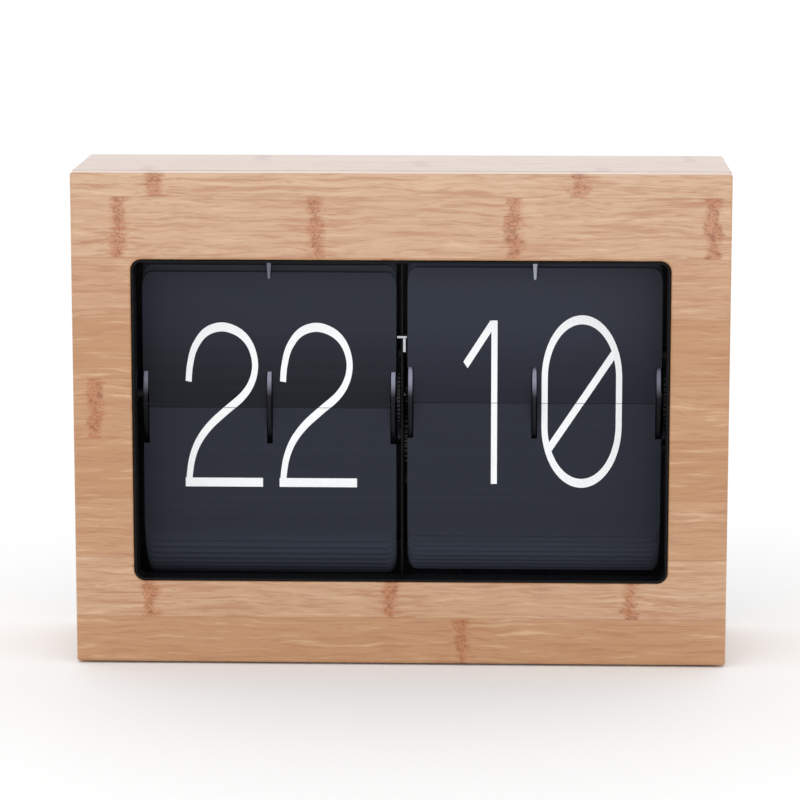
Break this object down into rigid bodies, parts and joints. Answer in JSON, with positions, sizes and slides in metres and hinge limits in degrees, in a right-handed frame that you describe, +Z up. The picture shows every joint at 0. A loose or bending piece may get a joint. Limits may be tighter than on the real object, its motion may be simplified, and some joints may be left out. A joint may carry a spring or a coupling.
{
  "type": "flip number clock",
  "caption": "Wide wooden box clock with an open black-lined window where hinged number leaves fall from rotating drums; hours at left, minutes at right.",
  "frame": {"origin": "on the resting surface, under the middle of the case", "axes": "+Z up, -Y out of the front window, +X to the right as the clock is read"},
  "size_m": [0.36, 0.1, 0.274],
  "materials": {
    "bamboo": "satin, edge-laminated strips",
    "black_plastic": "moulded, fine grain",
    "felt": "felt pad",
    "steel": "zinc-plated sheet",
    "grey_plastic": "moulded grey",
    "gear_plastic": "moulded black acetal",
    "leaf_black": "thin black sheet, satin",
    "cell_wrap": "plain shrink wrap",
    "board_green": "solder resist",
    "digit_white": "white print on the leaves"
  },
  "bodies": {
    "clock_case": {"front_frame": "bamboo", "top_board": "bamboo", "bottom_board": "bamboo", "left_board": "bamboo", "right_board": "bamboo", "window_liner": "black_plastic", "rear_cover": "black_plastic", "battery_box": "black_plastic", "top_rail": "black_plastic", "end_collar": "black_plastic", "foot_pad_1": "felt", "foot_pad_2": "felt", "foot_pad_3": "felt", "foot_pad_4": "felt", "base_rail": "steel", "left_bracket": "steel", "centre_bracket": "steel", "right_bracket": "steel", "main_axle": "steel", "axle_clip_left": "steel", "axle_clip_right": "steel", "door_hinge_pin": "steel", "battery_contact_left": "steel", "battery_contact_right": "steel", "cover_screw_1": "steel", "cover_screw_2": "steel", "cover_screw_3": "steel", "cover_screw_4": "steel", "motor_can": "steel", "hour_retainer": "grey_plastic", "minute_retainer": "grey_plastic", "hour_leaf_hanging": "leaf_black", "hour_pack_standing": "leaf_black", "hour_pack_hanging": "leaf_black", "minute_leaf_hanging": "leaf_black", "minute_pack_standing": "leaf_black", "minute_pack_hanging": "leaf_black", "battery_lower": "cell_wrap", "battery_upper": "cell_wrap", "circuit_board": "board_green"},
    "hour_drum": {"hour_drum_tube": "grey_plastic", "hour_disc_inner": "grey_plastic", "hour_disc_middle": "grey_plastic", "hour_disc_outer": "grey_plastic", "hour_gear": "gear_plastic"},
    "minute_drum": {"minute_drum_tube": "grey_plastic", "minute_disc_inner": "grey_plastic", "minute_disc_middle": "grey_plastic", "minute_disc_outer": "grey_plastic", "minute_pinion": "gear_plastic", "minute_drive_gear": "gear_plastic"},
    "transfer_shaft": {"transfer_gear": "gear_plastic", "transfer_pinion": "steel"},
    "motor_shaft": {"motor_pinion": "gear_plastic"},
    "set_shaft": {"set_gear": "gear_plastic", "set_wheel": "black_plastic"},
    "hour_leaf": {"hour_leaf_falling": "leaf_black"},
    "minute_leaf": {"minute_leaf_falling": "leaf_black"},
    "door": {"battery_door": "black_plastic"}
  },
  "joints": [
    {"name": "minute_drum_spin", "type": "hinge", "parent": "clock_case", "child": "minute_drum", "pos_m": [0, 0.007, 0.143], "axis": [1, 0, 0], "continuous": true},
    {"name": "hour_drum_spin", "type": "hinge", "parent": "clock_case", "child": "hour_drum", "pos_m": [0, 0.007, 0.143], "axis": [1, 0, 0], "continuous": true},
    {"name": "transfer_spin", "type": "hinge", "parent": "clock_case", "child": "transfer_shaft", "pos_m": [0, 0.01425, 0.11595], "axis": [1, 0, 0], "continuous": true},
    {"name": "motor_spin", "type": "hinge", "parent": "clock_case", "child": "motor_shaft", "pos_m": [0, 0.022, 0.11702], "axis": [1, 0, 0], "continuous": true},
    {"name": "set_spin", "type": "hinge", "parent": "clock_case", "child": "set_shaft", "pos_m": [0, 0.03443, 0.15948], "axis": [1, 0, 0], "continuous": true},
    {"name": "hour_leaf_fall", "type": "hinge", "parent": "clock_case", "child": "hour_leaf", "pos_m": [0, -0.022, 0.1419], "axis": [1, 0, 0], "range_deg": [0, 181.5]},
    {"name": "minute_leaf_fall", "type": "hinge", "parent": "clock_case", "child": "minute_leaf", "pos_m": [0, -0.022, 0.1448], "axis": [1, 0, 0], "range_deg": [0, 181.5]},
    {"name": "battery_door_open", "type": "hinge", "parent": "clock_case", "child": "door", "pos_m": [0, 0.0465, 0.0155], "axis": [-1, 0, 0], "range_deg": [0, 100]}
  ],
  "couplings": [
    {"joint": "hour_drum_spin", "follows": "minute_drum_spin", "ratio": 0.020833},
    {"joint": "transfer_spin", "follows": "minute_drum_spin", "ratio": -0.16667},
    {"joint": "motor_spin", "follows": "minute_drum_spin", "ratio": -4},
    {"joint": "set_spin", "follows": "minute_drum_spin", "ratio": -3}
  ]
}
